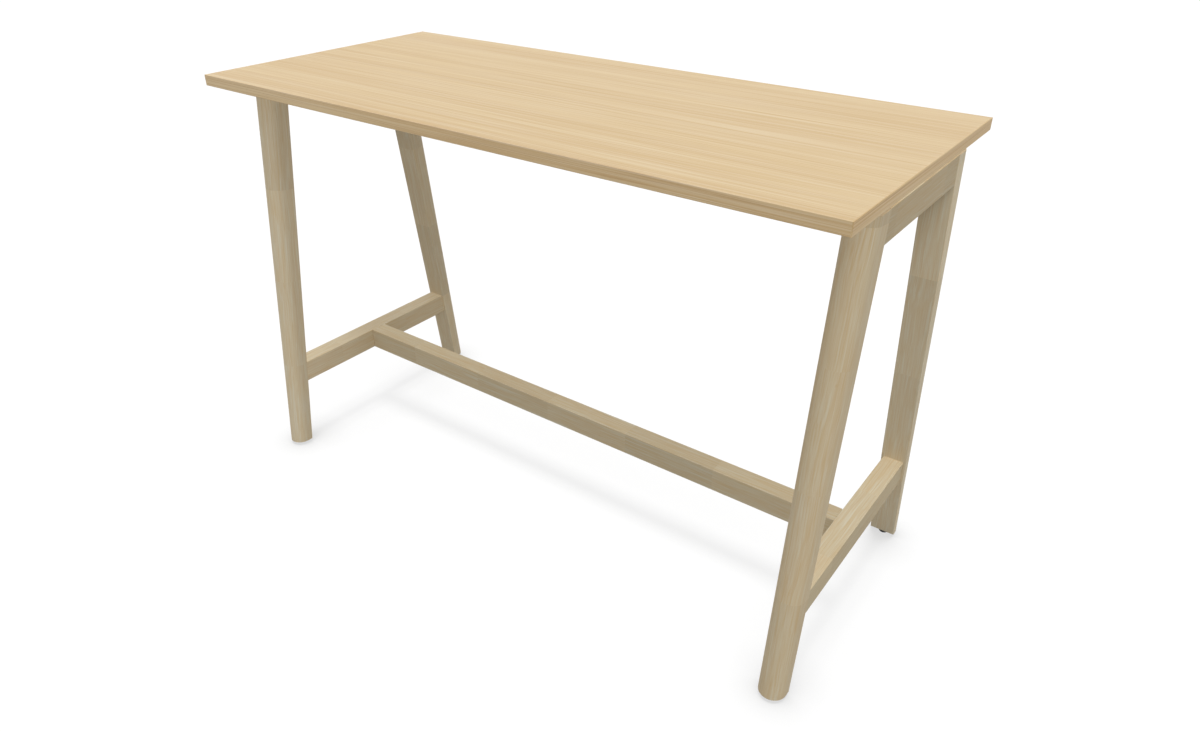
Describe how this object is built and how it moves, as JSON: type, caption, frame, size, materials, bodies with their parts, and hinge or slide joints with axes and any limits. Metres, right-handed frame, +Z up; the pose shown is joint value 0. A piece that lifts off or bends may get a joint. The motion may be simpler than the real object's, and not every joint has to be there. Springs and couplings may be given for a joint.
{
  "type": "high table",
  "caption": "Rectangular high table with a wood-decor top on splayed half-round wooden legs, side rails, a long footrest bar and levelling feet.",
  "frame": {"origin": "on the floor under the middle of the top", "axes": "+X along the length, +Y from the front to the back, +Z up"},
  "size_m": [1.6, 0.7, 1.05],
  "materials": {
    "top_decor": "satin light oak decor",
    "edge_decor": "satin light oak decor band",
    "frame_wood": "matt lacquered solid wood in glued staves",
    "dowel_wood": "raw beech",
    "black_steel": "fine black powder coat",
    "zinc_steel": "bright zinc plate",
    "black_plastic": "matt black nylon"
  },
  "bodies": {
    "table": {"tabletop_board": "top_decor", "front_edge_band": "edge_decor", "rear_edge_band": "edge_decor", "left_edge_band": "edge_decor", "right_edge_band": "edge_decor", "front_left_leg": "frame_wood", "rear_left_leg": "frame_wood", "front_right_leg": "frame_wood", "rear_right_leg": "frame_wood", "left_top_rail": "frame_wood", "right_top_rail": "frame_wood", "left_lower_rail": "frame_wood", "right_lower_rail": "frame_wood", "footrest_stretcher": "frame_wood", "rail_dowels": "dowel_wood", "stretcher_dowels": "dowel_wood", "front_beam": "black_steel", "rear_beam": "black_steel", "beam_end_plates": "black_steel", "beam_tabs": "black_steel", "beam_bolts": "zinc_steel", "beam_inserts": "zinc_steel", "beam_tab_screws": "zinc_steel", "top_bolts": "zinc_steel", "top_inserts": "zinc_steel", "stretcher_cam_bolts": "zinc_steel", "stretcher_cams": "zinc_steel", "foot_inserts": "zinc_steel", "top_spacers": "black_plastic"},
    "front_left_foot_pad": {"front_left_foot_pad": "black_plastic"},
    "front_left_foot_stud": {"front_left_foot_stud": "zinc_steel"},
    "rear_left_foot_pad": {"rear_left_foot_pad": "black_plastic"},
    "rear_left_foot_stud": {"rear_left_foot_stud": "zinc_steel"},
    "front_right_foot_pad": {"front_right_foot_pad": "black_plastic"},
    "front_right_foot_stud": {"front_right_foot_stud": "zinc_steel"},
    "rear_right_foot_pad": {"rear_right_foot_pad": "black_plastic"},
    "rear_right_foot_stud": {"rear_right_foot_stud": "zinc_steel"}
  },
  "joints": [
    {"name": "front_left_foot_travel", "type": "slide", "parent": "table", "child": "front_left_foot_pad", "axis": [0, 0, -1], "range_m": [0, 0.01]},
    {"name": "front_left_foot_screw", "type": "hinge", "parent": "front_left_foot_pad", "child": "front_left_foot_stud", "pos_m": [-0.7665, -0.31227, 0.01], "axis": [0, 0, -1], "range_deg": [0, 2880]},
    {"name": "rear_left_foot_travel", "type": "slide", "parent": "table", "child": "rear_left_foot_pad", "axis": [0, 0, -1], "range_m": [0, 0.01]},
    {"name": "rear_left_foot_screw", "type": "hinge", "parent": "rear_left_foot_pad", "child": "rear_left_foot_stud", "pos_m": [-0.7665, 0.31227, 0.01], "axis": [0, 0, -1], "range_deg": [0, 2880]},
    {"name": "front_right_foot_travel", "type": "slide", "parent": "table", "child": "front_right_foot_pad", "axis": [0, 0, -1], "range_m": [0, 0.01]},
    {"name": "front_right_foot_screw", "type": "hinge", "parent": "front_right_foot_pad", "child": "front_right_foot_stud", "pos_m": [0.7665, -0.31227, 0.01], "axis": [0, 0, -1], "range_deg": [0, 2880]},
    {"name": "rear_right_foot_travel", "type": "slide", "parent": "table", "child": "rear_right_foot_pad", "axis": [0, 0, -1], "range_m": [0, 0.01]},
    {"name": "rear_right_foot_screw", "type": "hinge", "parent": "rear_right_foot_pad", "child": "rear_right_foot_stud", "pos_m": [0.7665, 0.31227, 0.01], "axis": [0, 0, -1], "range_deg": [0, 2880]}
  ],
  "couplings": [
    {"joint": "front_left_foot_travel", "follows": "front_left_foot_screw", "m_per_rad": 0.00019894},
    {"joint": "rear_left_foot_travel", "follows": "rear_left_foot_screw", "m_per_rad": 0.00019894},
    {"joint": "front_right_foot_travel", "follows": "front_right_foot_screw", "m_per_rad": 0.00019894},
    {"joint": "rear_right_foot_travel", "follows": "rear_right_foot_screw", "m_per_rad": 0.00019894}
  ]
}
